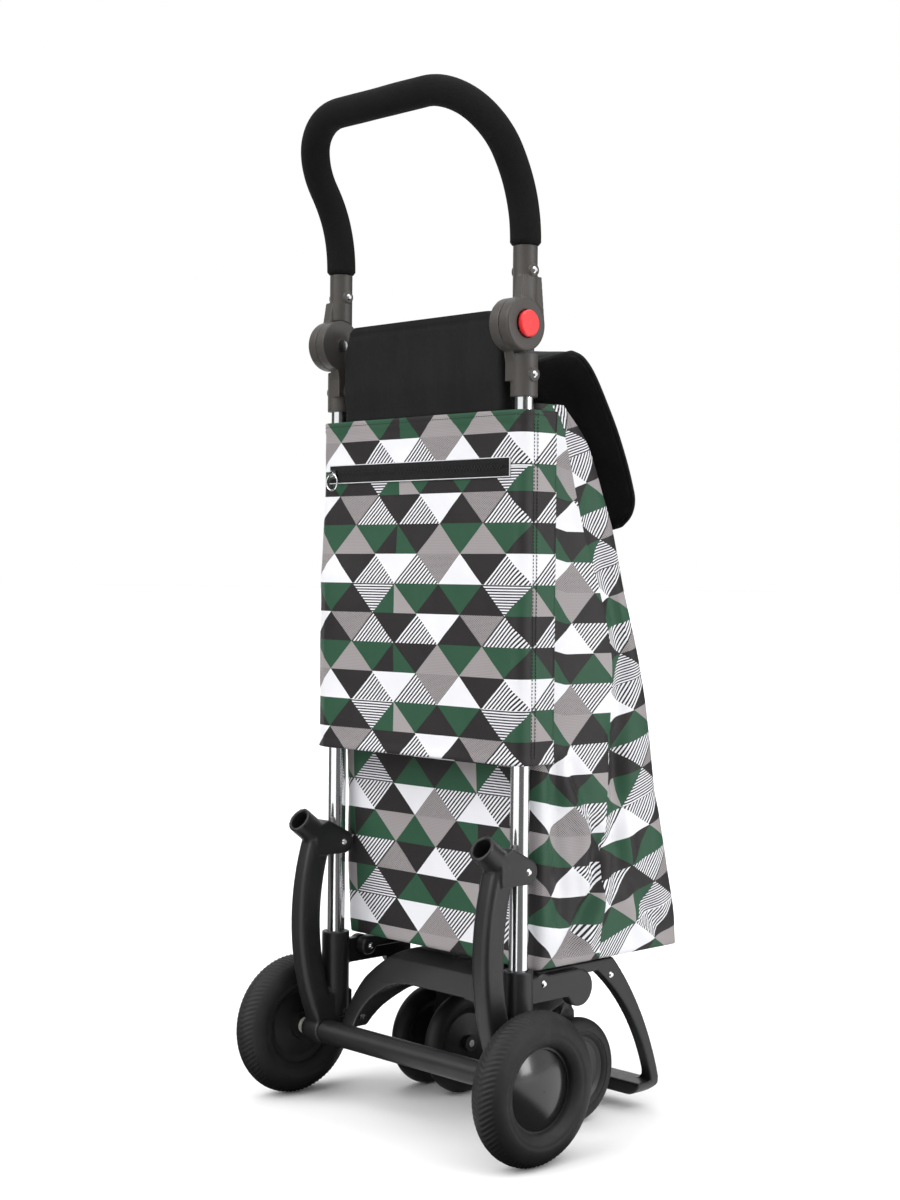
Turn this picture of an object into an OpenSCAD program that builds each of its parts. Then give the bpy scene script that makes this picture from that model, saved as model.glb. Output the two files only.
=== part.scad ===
// Folding shopping trolley: two main wheels, two twin-wheel casters, a
// folding handle and a soft bag. Millimetres. The ground is z = 0, the user
// stands on the -Y side, +X is the user's right. The modules are drawn with
// the frame tubes at y = 0, and place() moves them back to the origin.

/* [Frame] */
// Distance of each frame tube from the middle plane
tube_x = 143.5; // [135:0.5:150]
// Outer diameter of the aluminium tubes
tube_d = 20; // [18:0.5:20]
// Wall of the aluminium tubes
tube_wall = 1.5; // [1:0.1:2]

/* [Main wheels] */
// Outer radius of a main wheel
wheel_r = 78; // [74:1:80]
// Distance between the middles of the two main wheels
track = 375; // [374:1:385]
// Radius of the round tyre section
tyre_r = 20; // [17:0.5:20]
// How far the wheel axle lies behind the tubes
axle_back = 22.6; // [21:0.1:24]

/* [Casters] */
// Outer radius of a caster wheel
caster_r = 57; // [50:1:57]
// Distance of each caster stem from the middle plane
caster_x = 84.5; // [82:0.5:86]
// Distance from a caster's middle to each of its wheels
caster_gap = 27.5; // [27:0.5:29]
// Distance of the stems in front of the tubes
caster_y = 125; // [120:1:126]
// Trail of the caster wheels
trail = 6; // [3:1:6]

/* [Handle] */
// Height of the folding axis
fold_z = 843; // [841:1:846]
// Radius of the folding hinge's round body
drum_r = 27.5; // [26:0.5:28]
// Bend radius of the handle where it leans back
lean_r = 152; // [140:1:160]
// Angle that the handle leans back
lean_a = 33; // [25:1:36]
// Bend radius of the handle's top corners
corner_r = 77.6; // [60:0.2:90]
// Diameter of the foam grip
foam_d = 32; // [28:1:33]

/* [Bag] */
// How far the bag reaches in front of the tubes
bag_front = 250; // [240:1:260]
// Half width of the bag
bag_x = 150; // [140:1:151]
// Height of the bag's bottom
bag_z = 182; // [182:1:190]
// Height of the bag's mouth
bag_top = 765; // [740:1:766]
// Wall of the bag's fabric
cloth = 2; // [1.5:0.5:2.5]

/* [Hidden] */

$fn = 64;
tube_r = tube_d / 2;
run = 0.05;            // radial clearance of a running fit
slip = 0.3;            // gap between faces of different bodies
wheel_x = track / 2;
axle_y = -axle_back;
// The tubes' distance behind the origin, which is midway between the main
// wheels' rear edge and the bag's front edge
tubes_back = (bag_front - axle_back - wheel_r) / 2;
axle_r = 6;
black = "#2d2d2d";
dark_grey = "#555350";
steel = "#c8c8cc";

// Heights along the frame tubes
sleeve_top = 186.5;
tube_foot = 102;
arm_pin_z = 288;
socket_foot = 770;
socket_pin_z = 792.5;
tube_top = 806;

// Folding hinge: places along X, counted from the middle plane
fold_y = -10;
drum_in = 129.5;       // inner face of the fixed half
part_line = 142.8;     // where the two halves meet
drum_out = 156.5;      // outer face of the moving half
web_in = 149;          // web that turns on the pin
web_out = 152;
pocket_r = 16;         // pocket that the lock star moves in
pin_r = 4;
press = 4;             // travel of a release button
arm_foot = 878;        // lower end of the handle tube
upper_pin_z = 898;
grip_foot = 924;
bend_z = 929.7;        // where the handle starts to lean back
lean_straight = 4.1;   // straight stretch between bend and corner

// Curved rear arms
arm_in = 131.5;
arm_out = 155.5;
arm_c = [224, 203];    // centre of the arms' curve, as [y, z]
arm_r = 268;
arm_half = 14.5;       // half thickness of an arm in the curve's plane

// Side plates and the foot frame
plate_in = 136;
plate_out = 148;
foot_in = 121;
foot_out = 134.5;
plate_pin = [34, 168]; // [y, z]
foot_pin = [153.5, 159];

// Front bridge
bridge_top = 172;
boss_foot = 130;

// Lid
lid_axis = [2, 812];   // [y, z]
lid_neck = 125;        // half width between the hinges
lid_x = 140;           // half width over the bag

// Zip
zip_z = 699;
zip_y = -17;
slider_x = -131;

// ---------------------------------------------------------------- helpers

// The shape and its mirror image
module both_sides() { children(); mirror([1, 0, 0]) children(); }

// Moves a piece from the tubes' own place to the trolley's origin
module place() translate([0, -tubes_back, 0]) children();

// A piece of the right side, put in place there or mirrored to the left
module side(left) place() {
    if (left) mirror([1, 0, 0]) children();
    else children();
}

// A flat shape drawn as [y, z], made solid from x1 to x2
module across(x1, x2)
    translate([x1, 0, 0]) rotate([90, 0, 90]) linear_extrude(x2 - x1) children();

// A cylinder along X
module rod(x1, x2, y, z, r)
    translate([x1, y, z]) rotate([0, 90, 0]) cylinder(r = r, h = x2 - x1);

// A solid of revolution about an X axis, drawn as [radius, x]
module turned(y, z)
    translate([0, y, z]) rotate([0, 90, 0]) rotate_extrude($fn = 96) children();

// A rectangle with round corners
module soft_rect(x1, y1, x2, y2, r)
    hull() for (x = [x1 + r, x2 - r], y = [y1 + r, y2 - r])
        translate([x, y]) circle(r, $fn = 32);

// A rivet along X with a low round head at each end
module rivet(x1, x2, y, z, r = 2.4, head = 3.6) {
    rod(x1, x2, y, z, r);
    translate([x2, y, z]) rotate([0, 90, 0]) cylinder(r1 = head, r2 = head * 0.55, h = 1.6);
    translate([x1, y, z]) rotate([0, -90, 0]) cylinder(r1 = head, r2 = head * 0.55, h = 1.6);
}

// ------------------------------------------------------------ frame tubes

module frame_tube() color(steel) difference() {
    translate([tube_x, 0, tube_foot]) cylinder(r = tube_r, h = tube_top - tube_foot);
    translate([tube_x, 0, tube_foot - 1])
        cylinder(r = tube_r - tube_wall, h = tube_top - tube_foot + 2);
    for (z = [arm_pin_z, socket_pin_z])
        rod(tube_x - 15, tube_x + 15, 0, z, 2.5);
}

// ---------------------------------------------------------- chassis sides

// The outline of the side plate, as [y, z]
module plate_outline() {
    translate([0, 149]) square([92, 27]);
    translate([90, 156]) circle(19.5);
    translate([plate_pin[0], plate_pin[1]]) circle(11);
}

// The curved arm, swept round its centre
module rear_arm()
    translate([0, arm_c[0], arm_c[1]]) rotate([90, 0, 90])
        rotate([0, 0, 158]) rotate_extrude(angle = 46, $fn = 180)
            translate([arm_r, (arm_in + arm_out) / 2])
                offset(r = 7) square([2 * arm_half - 14, arm_out - arm_in - 14], center = true);

// The head that grips the tube, with the open round mouth behind it
module arm_head() {
    across(tube_x - 14, tube_x + 14) {
        translate([0, arm_pin_z]) circle(13);
        polygon([[-38, 276], [0, 275], [9, 298], [-22, 314], [-40, 306]]);
    }
    translate([tube_x, -28, 296]) rotate([53, 0, 0]) cylinder(r = 14.5, h = 34);
}

module chassis_side() color(black) difference() {
    union() {
        translate([tube_x, 0, 92]) cylinder(r = 15.5, h = sleeve_top - 92);
        across(plate_in, plate_out) plate_outline();
        across(arm_in, arm_out) {
            translate([axle_y, wheel_r]) circle(15);
            polygon([[-34, 88], [-12, 67], [15.5, 92], [15.5, 120], [-15.5, 120], [-36, 104]]);
        }
        rod(arm_out - 1, 161, axle_y, wheel_r, 13);
        rear_arm();
        arm_head();
    }
    translate([tube_x, 0, tube_foot]) cylinder(r = tube_r + run, h = 250);
    translate([tube_x, -28, 296]) rotate([53, 0, 0]) translate([0, 0, 14])
        cylinder(r = 10.5, h = 30);
    rod(100, 200, axle_y, wheel_r, axle_r + run);
    rod(100, 200, 0, arm_pin_z, 2.5);
    rod(100, 200, plate_pin[0], plate_pin[1], 2.5);
    rod(100, 134, 4, 96, 3.1);
}

// ------------------------------------------------------- axle and crossbar

module crossbar() color(black) difference() {
    rod(-arm_in + slip, arm_in - slip, axle_y, wheel_r, 13);
    rod(-arm_in, arm_in, axle_y, wheel_r, axle_r + run);
}

module main_axle() color(steel)
    rod(-wheel_x - 13, wheel_x + 13, axle_y, wheel_r, axle_r);

// Push-on clips that keep the wheels on the axle
module axle_clips() color(steel) both_sides() difference() {
    rod(wheel_x + 10.4, wheel_x + 11.6, axle_y, wheel_r, 10);
    rod(wheel_x + 9, wheel_x + 12.5, axle_y, wheel_r, axle_r + 0.01);
}

module arm_rivets() color(steel) both_sides()
    rivet(tube_x - 14, tube_x + 14, 0, arm_pin_z);

module plate_rivets() color(steel) both_sides()
    rivet(foot_in - 0.1, plate_out + 0.1, plate_pin[0], plate_pin[1]);

module foot_rivets() color(steel) both_sides()
    rivet(foot_in - 0.1, foot_out + 0.1, foot_pin[0], foot_pin[1]);

// -------------------------------------------------------------- main wheels

// Round tyre section with one fine groove on each flank, as [radius, x]
module tyre_section(r, w, seat) difference() {
    translate([r - w, 0]) circle(w, $fn = 96);
    translate([-1, -w - 1]) square([seat + 1, 2 * w + 2]);
    for (s = [-1, 1]) translate([r - w - 3.6, s * (w - 0.2)]) circle(1, $fn = 16);
}

module wheel_tyre() color(black) translate([wheel_x, 0, 0])
    turned(axle_y, wheel_r) tyre_section(wheel_r, tyre_r, 43.1);

// Wheel disc with its hub, open towards the cap
module wheel_hub() color(black) translate([wheel_x, 0, 0]) turned(axle_y, wheel_r)
    difference() {
        polygon([[9.05, -18], [15, -18], [16, -12], [36, -9], [43, -10], [43, 9.5],
            [40.5, 9.5], [40.5, -3], [16, -5], [15, 9], [9.05, 9]]);
    }

// Glossy domed cap that hides the end of the axle
module hub_cap() color(black) translate([wheel_x, 0, 0]) turned(axle_y, wheel_r)
    difference() {
        intersection() {
            translate([0, 16 - 110]) circle(110, $fn = 180);
            translate([0, 6]) square([40.3, 12]);
        }
        intersection() {
            translate([0, 13.6 - 110]) circle(110, $fn = 180);
            translate([-1, 5]) square([38, 12]);
        }
    }

module wheel_bush() color("white") difference() {
    rod(wheel_x - 18.5, wheel_x + 9.6, axle_y, wheel_r, 9);
    rod(wheel_x - 20, wheel_x + 11, axle_y, wheel_r, axle_r + run);
}

// ------------------------------------------------------------- foot frame

// Side outline of the foot frame, as [y, z]: a rail under the bag that
// curves down into the front leg
module foot_outline() {
    translate([30, 166]) square([100, 12]);
    translate([32, 168]) circle(10);
    intersection() {
        difference() {
            translate([-99, -55]) circle(346, $fn = 360);
            translate([-12, -29]) circle(243, $fn = 360);
        }
        polygon([[100, 178], [250, 178], [250, 40], [236, 24], [226, 16], [203, 16], [203, 31],
            [150, 120], [100, 157]]);
    }
    translate([203, 16]) square([23, 15]);
}

module foot_frame() color(black) difference() {
    intersection() {
        across(-foot_out, foot_out) foot_outline();
        translate([0, 260, 0]) rotate([90, 0, 0]) linear_extrude(260) difference() {
            soft_rect(-foot_out, 16, foot_out, 240, 20);
            soft_rect(-foot_in, 31, foot_in, 300, 12);
        }
    }
    rod(-150, 150, plate_pin[0], plate_pin[1], 2.5);
    rod(-150, 150, foot_pin[0], foot_pin[1], 2.5);
}

// ------------------------------------------------------------ front bridge

// Arch seen from the front, as [x, z]
module arch_outline() {
    outer = [for (t = [0:6:90]) [60 + 65 * sin(t), 84 + 88 * cos(t)]];
    inner = [for (t = [90:-6:0]) [42 + 62 * sin(t), 84 + 54 * cos(t)]];
    half = concat([[0, bridge_top]], outer, inner, [[0, 138]]);
    both_sides() polygon(half);
}

module front_bridge() color(black) difference() {
    union() {
        intersection() {
            translate([0, 200, 0]) rotate([90, 0, 0]) linear_extrude(300) arch_outline();
            across(-130, 130) polygon([[-8, 83], [12, 83], [34, 104], [60, 122],
                [100, 132], [150, 140], [152, 172], [52, 172], [36, 160], [16, 136]]);
        }
        both_sides() translate([caster_x, caster_y, boss_foot])
            cylinder(r = 14, h = bridge_top - boss_foot);
    }
    both_sides() translate([caster_x, caster_y, 100]) cylinder(r = 8.05, h = 100);
    both_sides() rod(100, 140, 4, 96, 3.1);
    translate([0, 46, bridge_top + 5]) sphere(r = 9);
}

module bridge_pins() color(steel) both_sides() rod(100, 132, 4, 96, 3);

module stem_bushes() color("white") both_sides() difference() {
    translate([caster_x, caster_y, boss_foot]) cylinder(r = 8, h = bridge_top - boss_foot);
    translate([caster_x, caster_y, 100]) cylinder(r = 5 + run, h = 100);
}

// ----------------------------------------------------------------- casters

caster_axle_y = caster_y - trail;

module caster_yoke() color(black) difference() {
    union() {
        translate([caster_x, caster_y, 119]) cylinder(r = 14, h = boss_foot - 119 - slip);
        across(caster_x - 13, caster_x + 13) hull() {
            translate([caster_y, 112]) circle(12, $fn = 32);
            translate([caster_axle_y, caster_r]) circle(10, $fn = 32);
        }
    }
    translate([caster_x, caster_y, 100]) cylinder(r = 5, h = 60);
    rod(caster_x - 30, caster_x + 30, caster_axle_y, caster_r, 4);
}

// Steel swivel pin with its retaining ring
module caster_stem() color(steel) translate([caster_x, caster_y, 0]) {
    translate([0, 0, 100.1]) cylinder(r = 4.99, h = 76);
    translate([0, 0, bridge_top + slip]) cylinder(r = 8, h = 1.5);
}

module caster_axle() color(steel)
    rod(caster_x - 41, caster_x + 41, caster_axle_y, caster_r, 3.99);

module caster_tyre(x) color(black) translate([x, 0, 0])
    turned(caster_axle_y, caster_r) tyre_section(caster_r, 11, 37.6);

module caster_hub(x) color(black) translate([x, 0, 0])
    turned(caster_axle_y, caster_r)
        polygon([[4 + run, -13], [9, -13], [9, -8], [33, -5], [37.5, -7], [37.5, 7],
            [33, 5], [9, 8], [9, 13], [4 + run, 13]]);

// ----------------------------------------------------------- folding hinge

// A round lock star with teeth, as a flat shape
module star_shape(gap) {
    circle(12.4 + gap);
    for (a = [0:30:330]) rotate(a) translate([11, -1.6 - gap]) square([3.8 + gap, 3.2 + 2 * gap]);
}

// A flat shape about the folding axis, made solid from x1 to x2
module about_fold(x1, x2)
    translate([0, fold_y, fold_z]) across(x1, x2) children();

// Fixed half: a socket on the frame tube and the inner half of the drum
module hinge_base() color(dark_grey) difference() {
    union() {
        translate([tube_x, 0, socket_foot]) cylinder(r = 14, h = 44);
        rod(drum_in, part_line - slip / 2, fold_y, fold_z, drum_r);
        across(drum_in, part_line - slip / 2)
            polygon([[-14, 786], [14, 786], [17, 836], [-34, 830], [-16.5, 818.5], [-14, 806]]);
        rod(tube_x - 15.5, tube_x + 15.5, 0, socket_pin_z, 7);
    }
    about_fold(part_line - slip / 2, 165) circle(drum_r + 0.6);
    translate([tube_x, 0, socket_foot - 1]) cylinder(r = tube_r + run, h = tube_top - socket_foot + 1.2);
    rod(100, 180, 0, socket_pin_z, 2.5);
    rod(drum_in - 1, part_line, fold_y, fold_z, pin_r + run);
    about_fold(drum_in + 3, part_line) star_shape(0.25);
}

// Moving half: a socket on the handle tube and the outer half of the drum
module hinge_arm() color(dark_grey) difference() {
    union() {
        translate([tube_x, 0, 866]) cylinder(r = 12.6, h = grip_foot - 866 - 0.5);
        turned(fold_y, fold_z) polygon([[0, part_line + slip / 2],
            [drum_r, part_line + slip / 2], [drum_r, drum_out - 2.5],
            [drum_r - 0.7, drum_out - 0.8], [drum_r - 2.5, drum_out], [0, drum_out]]);
        across(part_line + slip / 2, drum_out - 1.5)
            polygon([[-33, 855], [17, 850], [12.6, 892], [-12.6, 892], [-16.5, 870]]);
        rod(tube_x - 13.8, tube_x + 13.8, 0, upper_pin_z, 6.5);
    }
    about_fold(120, part_line + slip / 2) circle(drum_r + 0.6);
    translate([tube_x, 0, arm_foot]) cylinder(r = tube_r + run, h = 80);
    rod(100, 180, 0, upper_pin_z, 2.5);
    about_fold(part_line, web_in) circle(pocket_r);
    about_fold(web_in - 1, web_out + 1) circle(pin_r + run);
    about_fold(web_out, 170) circle(13.9);
    for (a = [0, 120, 240]) about_fold(web_in - 1, web_out + 1) rotate(a) leg_shape(24, 0.4);
}

// One leg of a release button, as a piece of a ring
module leg_shape(half_angle, gap) intersection() {
    difference() { circle(12 + gap); circle(9.5 - gap); }
    polygon([[0, 0], [30 * cos(half_angle), -30 * sin(half_angle)],
        [30 * cos(half_angle), 30 * sin(half_angle)]]);
}

module release_button() color("#eb4b4b") {
    turned(fold_y, fold_z) polygon([[0, web_out + 1.8 + press], [13.5, web_out + 1.8 + press],
        [13.5, 160.6], [12.2, 161.8], [0, 162.2]]);
    for (a = [0, 120, 240])
        about_fold(web_in - 1.6, web_out + 2 + press) rotate(a) leg_shape(20, 0);
}

// Toothed lock disc, pushed outwards by its spring
module lock_star() color(black) about_fold(137.2, web_in - 1.8) difference() {
    star_shape(0);
    circle(pin_r + 0.3);
}

// Steel pins of the two folding hinges, with a head at each end
module hinge_pins() color(steel) both_sides() {
    rod(drum_in - 1.6, web_out + 1.6, fold_y, fold_z, pin_r);
    rod(drum_in - 1.6, drum_in - 0.1, fold_y, fold_z, 6.5);
    rod(web_out + 0.1, web_out + 1.6, fold_y, fold_z, 6.5);
}

// A round bar between two points
module link(p, q, r) {
    d = q - p;
    translate(p) rotate([0, acos(d[2] / norm(d)), atan2(d[1], d[0])]) cylinder(r = r, h = norm(d));
}

// Coil spring of open turns, each joined to the next by a slanting link
spring_turns = 4;
spring_r = 7.4;
wire_r = 0.5;
link_r = 0.4;
spring_arc = 320;
module lock_spring() color(steel) {
    x1 = drum_in + 3.8;
    pitch = (137 - x1 - 2 * wire_r) / (spring_turns - 1);
    end = [fold_y - spring_r * sin(spring_arc), fold_z + spring_r * cos(spring_arc)];
    for (i = [0:spring_turns - 1]) {
        x = x1 + pitch * i;
        translate([x, fold_y, fold_z]) rotate([90, 0, 90]) rotate([0, 0, 90])
            rotate_extrude(angle = spring_arc, $fn = 48) translate([spring_r, 0])
                circle(wire_r, $fn = 24);
        if (i < spring_turns - 1)
            link([x, end[0], end[1]], [x + pitch, fold_y, fold_z + spring_r], link_r);
    }
}

module socket_rivets_lower() color(steel) both_sides()
    rivet(tube_x - 15.5, tube_x + 15.5, 0, socket_pin_z);

module socket_rivets_upper() color(steel) both_sides()
    rivet(tube_x - 13.8, tube_x + 13.8, 0, upper_pin_z);

// ------------------------------------------------------------------ handle

// The handle's path from a height up, with a ring-shaped or round section
module handle_sweep(z1) {
    both_sides() {
        translate([tube_x, 0, z1]) linear_extrude(bend_z - z1) children();
        translate([tube_x, -lean_r, bend_z]) rotate([90, 0, 90])
            rotate_extrude(angle = lean_a, $fn = 180) translate([lean_r, 0]) children();
    }
    translate([0, -lean_r * (1 - cos(lean_a)), bend_z + lean_r * sin(lean_a)])
        rotate([lean_a, 0, 0]) {
            both_sides() {
                translate([tube_x, 0, 0]) linear_extrude(lean_straight) children();
                translate([tube_x - corner_r, 0, lean_straight]) rotate([90, 0, 0])
                    rotate_extrude(angle = 90, $fn = 180) translate([corner_r, 0]) children();
            }
            translate([corner_r - tube_x, 0, lean_straight + corner_r]) rotate([90, 0, 90])
                linear_extrude(2 * (tube_x - corner_r)) children();
        }
}

module handle_tube() color(steel) difference() {
    handle_sweep(arm_foot + 0.3) difference() {
        circle(tube_r);
        circle(tube_r - tube_wall);
    }
    both_sides() rod(tube_x - 15, tube_x + 15, 0, upper_pin_z, 2.5);
}

module handle_grip() color(black) handle_sweep(grip_foot) difference() {
    circle(foam_d / 2);
    circle(tube_r + 0.1);
}

// --------------------------------------------------------------------- bag

// Side outline of the bag, as [y, z], shrunk by a wall and raised at the mouth
module bag_outline(t, top) polygon([[23 + t, bag_z + t], [bag_front - t, bag_z + t],
    [bag_front - 1 - t, 230], [209 - t, 453], [150 - t, 640], [128 - t, 690],
    [112 - t, 728], [84 - t, bag_top + top], [12 + t, bag_top + top], [12 + t, 420]]);

module bag_body() color("#3e604e") difference() {
    across(-bag_x, bag_x) bag_outline(0, 0);
    across(-bag_x + cloth, bag_x - cloth) bag_outline(cloth, 1);
}

// Stiff board that keeps the bottom of the bag flat
module bag_base_board() color("#6b6458")
    translate([-bag_x + 6, 32, bag_z + cloth + 0.3]) cube([2 * bag_x - 12, 208, 3]);

// Printed pocket panel that wraps round both tubes
module pocket_panel() color("#3e604e") translate([0, 0, 396]) linear_extrude(361)
    difference() {
        panel_shape(0);
        panel_shape(cloth);
        translate([-200, 34]) square([400, 60]);
    }

module panel_shape(t) {
    soft_rect(-158 + t, -15.5 + t, 158 - t, 60, 14 - t);
}

// Black panel between the tubes, above the pocket
module back_panel() color(black) difference() {
    translate([-126, -12.8, 700]) cube([252, cloth, 160]);
    both_sides() translate([126, -20, 770]) rotate([0, -10, 0]) cube([40, 20, 120]);
}

// Fabric lid, fixed at the back and curving down over the bag's front
module lid_flap() color(black) intersection() {
    across(-lid_x, lid_x) difference() {
        polygon([[-3, 811], [6, 822], [24, 826.5], [80, 827], [96, 822], [120, 798],
            [146, 757], [167, 715], [182, 672], [188, 640], [184, 640], [178, 672],
            [164, 713], [143, 755], [117, 795], [94, 818.5], [79, 823.5], [25, 823],
            [8, 819], [2, 810]]);
    }
    union() {
        translate([-lid_neck, -10, 600]) cube([2 * lid_neck, 250, 300]);
        translate([-lid_x, 62, 600]) cube([2 * lid_x, 250, 300]);
    }
}

// Piping along the lid's sewn edge, round about the line that the lid turns on
module lid_piping() rod(-lid_neck, lid_neck, lid_axis[0], lid_axis[1], 2.5);

module zip_tape() color(black) difference() {
    translate([-140, zip_y, zip_z - 9]) cube([280, 1.3, 18]);
    translate([-134, zip_y - 1, zip_z - 0.6]) cube([268, 3, 1.2]);
}

module zip_slider() color(steel) {
    translate([slider_x - 4, zip_y - 3.3, zip_z - 5]) cube([8, 3, 10]);
    difference() {
        rod(slider_x - 1, slider_x + 1, zip_y - 4.5, zip_z + 1, 3.4);
        rod(slider_x - 2, slider_x + 2, zip_y - 4.9, zip_z + 1, 1.9);
    }
}

// Ring puller that hangs from the slider's eye
module zip_puller() color(steel) translate([slider_x, zip_y - 4.9, zip_z + 1]) {
    translate([0, 0, -9.5]) rotate([90, 0, 0]) rotate_extrude($fn = 48)
        translate([9, 0]) circle(0.9, $fn = 24);
}

// ------------------------------------------------------------------- nodes

side(true) frame_tube();  // frame_tube_left
side(false) frame_tube();  // frame_tube_right
side(true) chassis_side();  // chassis_side_left
side(false) chassis_side();  // chassis_side_right
place() crossbar();
place() main_axle();
place() axle_clips();
side(true) hinge_base();  // hinge_base_left
side(false) hinge_base();  // hinge_base_right
place() hinge_pins();
place() arm_rivets();
place() socket_rivets_lower();
place() plate_rivets();
place() foot_rivets();
place() foot_frame();
place() front_bridge();
place() bridge_pins();
place() stem_bushes();
place() bag_body();
place() bag_base_board();
place() pocket_panel();
place() back_panel();
place() zip_tape();
place() handle_tube();
place() handle_grip();
side(true) hinge_arm();  // hinge_arm_left
side(false) hinge_arm();  // hinge_arm_right
place() socket_rivets_upper();
side(true) release_button();  // release_button_left
side(false) release_button();  // release_button_right
side(true) lock_star();  // lock_star_left
side(false) lock_star();  // lock_star_right
side(true) lock_spring();  // lock_spring_left
side(false) lock_spring();  // lock_spring_right
side(true) wheel_tyre();  // wheel_tyre_left
side(false) wheel_tyre();  // wheel_tyre_right
side(true) wheel_hub();  // wheel_hub_left
side(false) wheel_hub();  // wheel_hub_right
side(true) hub_cap();  // hub_cap_left
side(false) hub_cap();  // hub_cap_right
side(true) wheel_bush();  // wheel_bush_left
side(false) wheel_bush();  // wheel_bush_right
side(true) caster_yoke();  // caster_yoke_left
side(false) caster_yoke();  // caster_yoke_right
side(true) caster_stem();  // caster_stem_left
side(false) caster_stem();  // caster_stem_right
side(true) caster_axle();  // caster_axle_left
side(false) caster_axle();  // caster_axle_right
place() caster_tyre(-caster_x - caster_gap);  // caster_tyre_left_outer
place() caster_tyre(-caster_x + caster_gap);  // caster_tyre_left_inner
place() caster_tyre(caster_x - caster_gap);  // caster_tyre_right_inner
place() caster_tyre(caster_x + caster_gap);  // caster_tyre_right_outer
place() caster_hub(-caster_x - caster_gap);  // caster_hub_left_outer
place() caster_hub(-caster_x + caster_gap);  // caster_hub_left_inner
place() caster_hub(caster_x - caster_gap);  // caster_hub_right_inner
place() caster_hub(caster_x + caster_gap);  // caster_hub_right_outer
place() { lid_flap(); lid_piping(); }
place() zip_slider();
place() zip_puller();
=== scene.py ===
"""Looks of a folding shopping trolley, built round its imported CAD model.

Blender units are metres. The trolley's own sizes below are in millimetres, with x to the
user's right, y forward from the plane of the two frame tubes and z up from the ground.
"""
import math

import bmesh
import bpy
import numpy as np
from mathutils import Matrix, Vector, noise


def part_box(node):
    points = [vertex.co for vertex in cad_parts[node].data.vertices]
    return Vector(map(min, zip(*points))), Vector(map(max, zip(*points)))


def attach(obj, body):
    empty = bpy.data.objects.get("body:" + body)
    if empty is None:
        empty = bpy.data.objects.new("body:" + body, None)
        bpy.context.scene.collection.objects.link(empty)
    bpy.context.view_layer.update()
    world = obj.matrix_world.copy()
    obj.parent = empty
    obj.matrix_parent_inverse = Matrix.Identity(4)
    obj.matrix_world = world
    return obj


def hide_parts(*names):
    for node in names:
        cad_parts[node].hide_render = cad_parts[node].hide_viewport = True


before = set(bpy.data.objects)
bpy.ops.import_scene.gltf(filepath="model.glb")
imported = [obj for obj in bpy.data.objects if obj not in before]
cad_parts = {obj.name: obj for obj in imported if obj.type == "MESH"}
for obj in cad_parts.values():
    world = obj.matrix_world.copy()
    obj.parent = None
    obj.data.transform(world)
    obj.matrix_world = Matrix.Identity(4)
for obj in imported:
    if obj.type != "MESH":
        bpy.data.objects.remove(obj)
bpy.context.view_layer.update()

MM = 0.001
TUBE_LOW, TUBE_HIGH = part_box("frame_tube_right")
TUBE_Y = (TUBE_LOW.y + TUBE_HIGH.y) / 2       # the tubes' plane in the row frame, in metres
TUBE_X = (TUBE_LOW.x + TUBE_HIGH.x) / 2 / MM  # 143.5 mm


def at(x, y, z):
    """A point given in millimetres from the tubes' plane, in the row frame in metres."""
    return Vector((x * MM, y * MM + TUBE_Y, z * MM))


# ------------------------------------------------------------------ meshes

def mesh_object(name, points, faces, smooth=True):
    """A mesh object from points in millimetres and its faces."""
    mesh = bpy.data.meshes.new(name)
    mesh.from_pydata([at(*p) for p in points], [], faces)
    mesh.validate()
    piece = bpy.data.objects.new(name, mesh)
    bpy.context.scene.collection.objects.link(piece)
    if smooth:
        mesh.polygons.foreach_set("use_smooth", [True] * len(mesh.polygons))
    return piece


def grid(name, rows, loop=False, caps=False, outside=None):
    """A surface through rows of points. loop joins each row's ends, caps closes the outer rows.
    Where outside is given, the face that lies furthest that way looks that way."""
    rows = [np.asarray(row, float) for row in rows]
    wide = len(rows[0])
    faces = []
    for j in range(len(rows) - 1):
        for i in range(wide if loop else wide - 1):
            k = (i + 1) % wide
            faces.append((j * wide + i, j * wide + k, (j + 1) * wide + k, (j + 1) * wide + i))
    if caps:
        faces.append(tuple(range(wide))[::-1])
        faces.append(tuple((len(rows) - 1) * wide + i for i in range(wide)))
    points = np.concatenate(rows)
    if outside is not None:
        centres = points[np.array(faces)].mean(1)
        a, b, c = points[list(faces[int(np.argmax(centres @ outside))])][:3]
        if np.cross(b - a, c - b) @ outside < 0:
            faces = [face[::-1] for face in faces]
    return mesh_object(name, points, faces)


def print_on(piece, place):
    """Stores where each corner of each face lies on the printed cloth: place(face) gives a list
    of (half bases, rows), one for each corner."""
    layer = piece.data.attributes.new("cloth", "FLOAT_VECTOR", "CORNER")
    for face in piece.data.polygons:
        for corner, (u, r) in zip(face.loop_indices, place(face)):
            layer.data[corner].vector = (u, r, 0)


def sweep(name, path, rings, loop=False):
    """A tube along a path of points: rings[i] is the outline at point i, as (side, up) pairs."""
    path = [Vector(p) for p in path]
    rows = []
    side = Vector((1, 0, 0))
    for i, point in enumerate(path):
        ahead = path[(i + 1) % len(path)] if loop or i + 1 < len(path) else point
        behind = path[i - 1] if loop or i else point
        along = (ahead - behind).normalized()
        side = (side - along * side.dot(along)).normalized()
        up = along.cross(side)
        rows.append([point + side * a + up * b for a, b in rings[i]])
    if loop:
        rows.append(rows[0])
    return grid(name, rows, loop=True, caps=not loop)


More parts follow.
